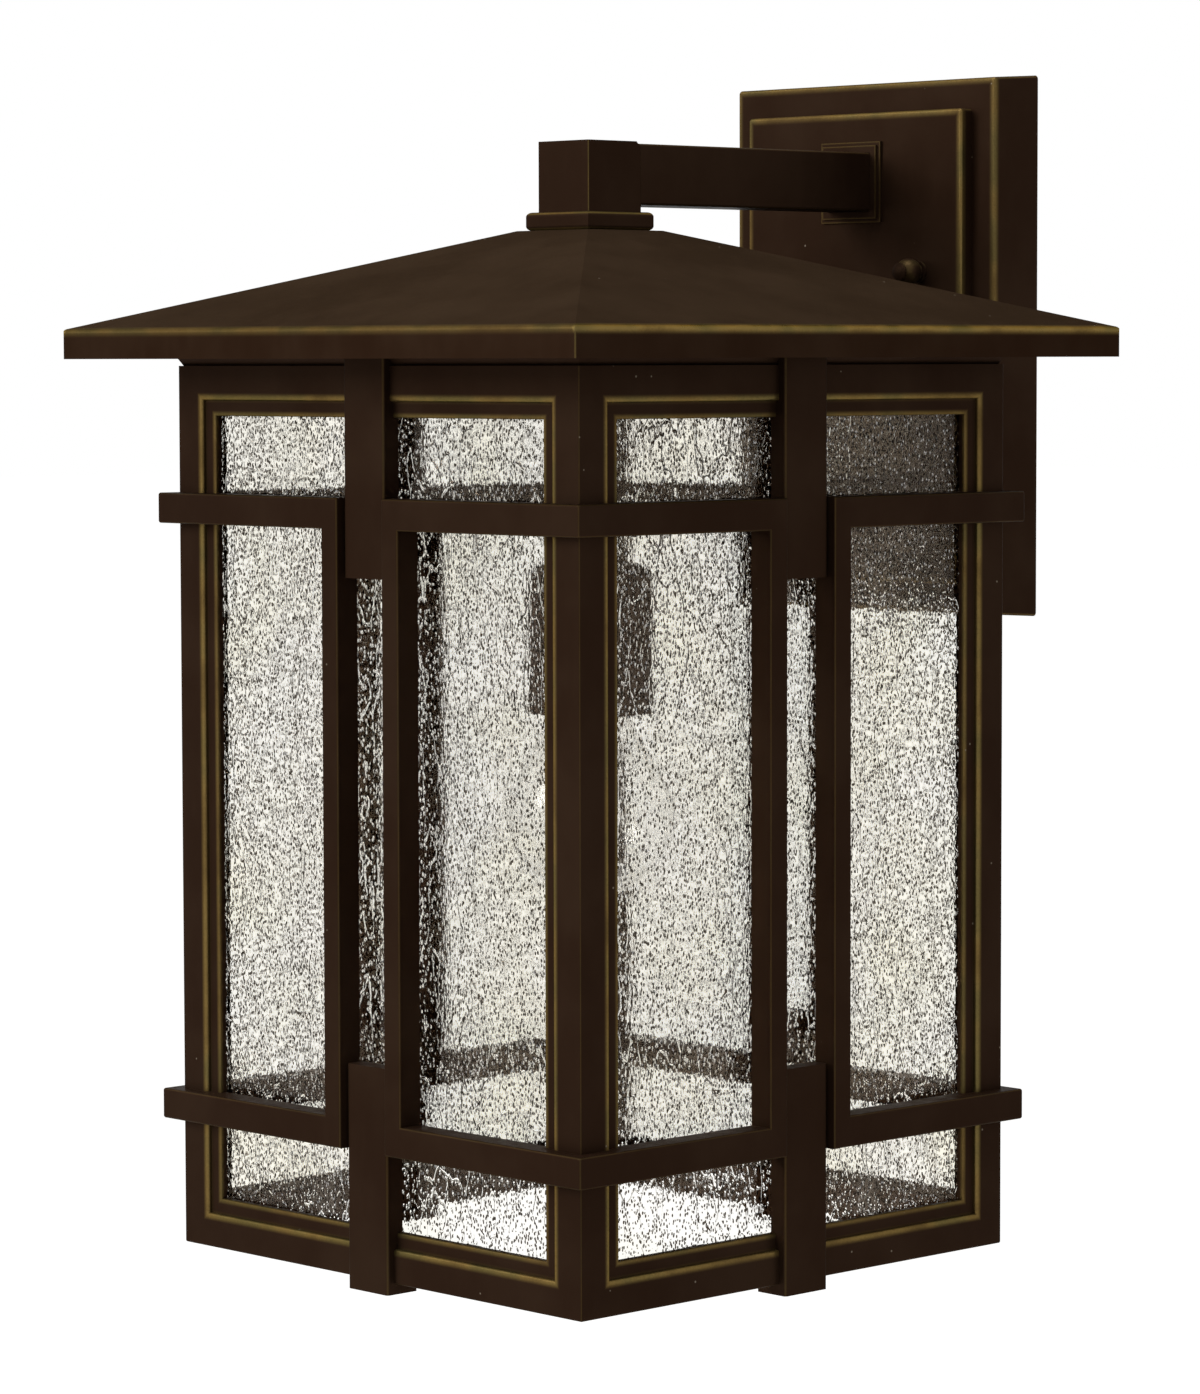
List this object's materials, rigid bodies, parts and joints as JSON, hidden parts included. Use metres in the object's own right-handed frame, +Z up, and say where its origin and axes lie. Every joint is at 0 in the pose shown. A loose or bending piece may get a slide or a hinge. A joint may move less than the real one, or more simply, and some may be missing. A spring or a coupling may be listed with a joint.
{
  "type": "outdoor wall lantern",
  "caption": "Square mission-style outdoor wall lantern: hipped roof, framed seeded glass, corner overlays, open bottom, clear bulb, square arm and wall plate.",
  "frame": {"origin": "middle of the wall plate's back, on the wall", "axes": "+Z up, +Y into the wall, the lantern stands out towards -Y"},
  "size_m": [0.302, 0.337, 0.4822],
  "materials": {
    "bronze": "dark rubbed bronze, brass showing on the edges",
    "seeded_glass": "clear cathedral glass full of small seeds",
    "steel": "zinc plated",
    "ground_screw_green": "green dyed",
    "foam": "closed-cell foam",
    "brass": "bare brass",
    "porcelain": null,
    "wire": "insulated wire",
    "bulb_glass": "clear",
    "bulb_metal": "bright rolled sheet",
    "insulator": null
  },
  "bodies": {
    "fixture": {"wall_plate": "bronze", "arm": "bronze", "arm_escutcheon": "bronze", "hub_post": "bronze", "roof_collar": "bronze", "roof": "bronze", "roof_soffit": "bronze", "neck_plate": "bronze", "socket_cup": "bronze", "stem_tube": "bronze", "cage_frame_front": "bronze", "upper_batten_front": "bronze", "lower_batten_front": "bronze", "glass_front": "seeded_glass", "cage_frame_right": "bronze", "upper_batten_right": "bronze", "lower_batten_right": "bronze", "glass_right": "seeded_glass", "cage_frame_back": "bronze", "upper_batten_back": "bronze", "lower_batten_back": "bronze", "glass_back": "seeded_glass", "cage_frame_left": "bronze", "upper_batten_left": "bronze", "lower_batten_left": "bronze", "glass_left": "seeded_glass", "overlay_front_right": "bronze", "overlay_back_right": "bronze", "overlay_back_left": "bronze", "overlay_front_left": "bronze", "mounting_strap": "steel", "mounting_studs": "steel", "stud_nuts": "steel", "arm_wall_plug": "steel", "arm_nipple": "steel", "arm_washer": "steel", "arm_lock_nut": "steel", "cage_screws": "steel", "glass_clips": "steel", "clip_screws": "steel", "lamp_nipple": "steel", "ceiling_washer": "steel", "ceiling_nut": "steel", "ground_screw": "ground_screw_green", "wall_gasket": "foam", "socket_cap": "brass", "socket_shell": "brass", "socket_tongue": "brass", "terminal_screws": "brass", "socket_body": "porcelain", "supply_leads": "wire"},
    "left_cap_nut": {"cap_nut_left": "bronze"},
    "right_cap_nut": {"cap_nut_right": "bronze"},
    "bulb": {"bulb_glass": "bulb_glass", "bulb_base": "bulb_metal", "bulb_insulator": "insulator", "bulb_tip": "brass", "bulb_mount": "bulb_glass", "bulb_filament": "bulb_metal"}
  },
  "joints": [
    {"name": "left_cap_nut_off", "type": "slide", "parent": "fixture", "child": "left_cap_nut", "axis": [0, -1, 0], "range_m": [0, 0.012]},
    {"name": "right_cap_nut_off", "type": "slide", "parent": "fixture", "child": "right_cap_nut", "axis": [0, -1, 0], "range_m": [0, 0.012]},
    {"name": "bulb_out", "type": "slide", "parent": "fixture", "child": "bulb", "axis": [0, 0, -1], "range_m": [0, 0.275]}
  ]
}
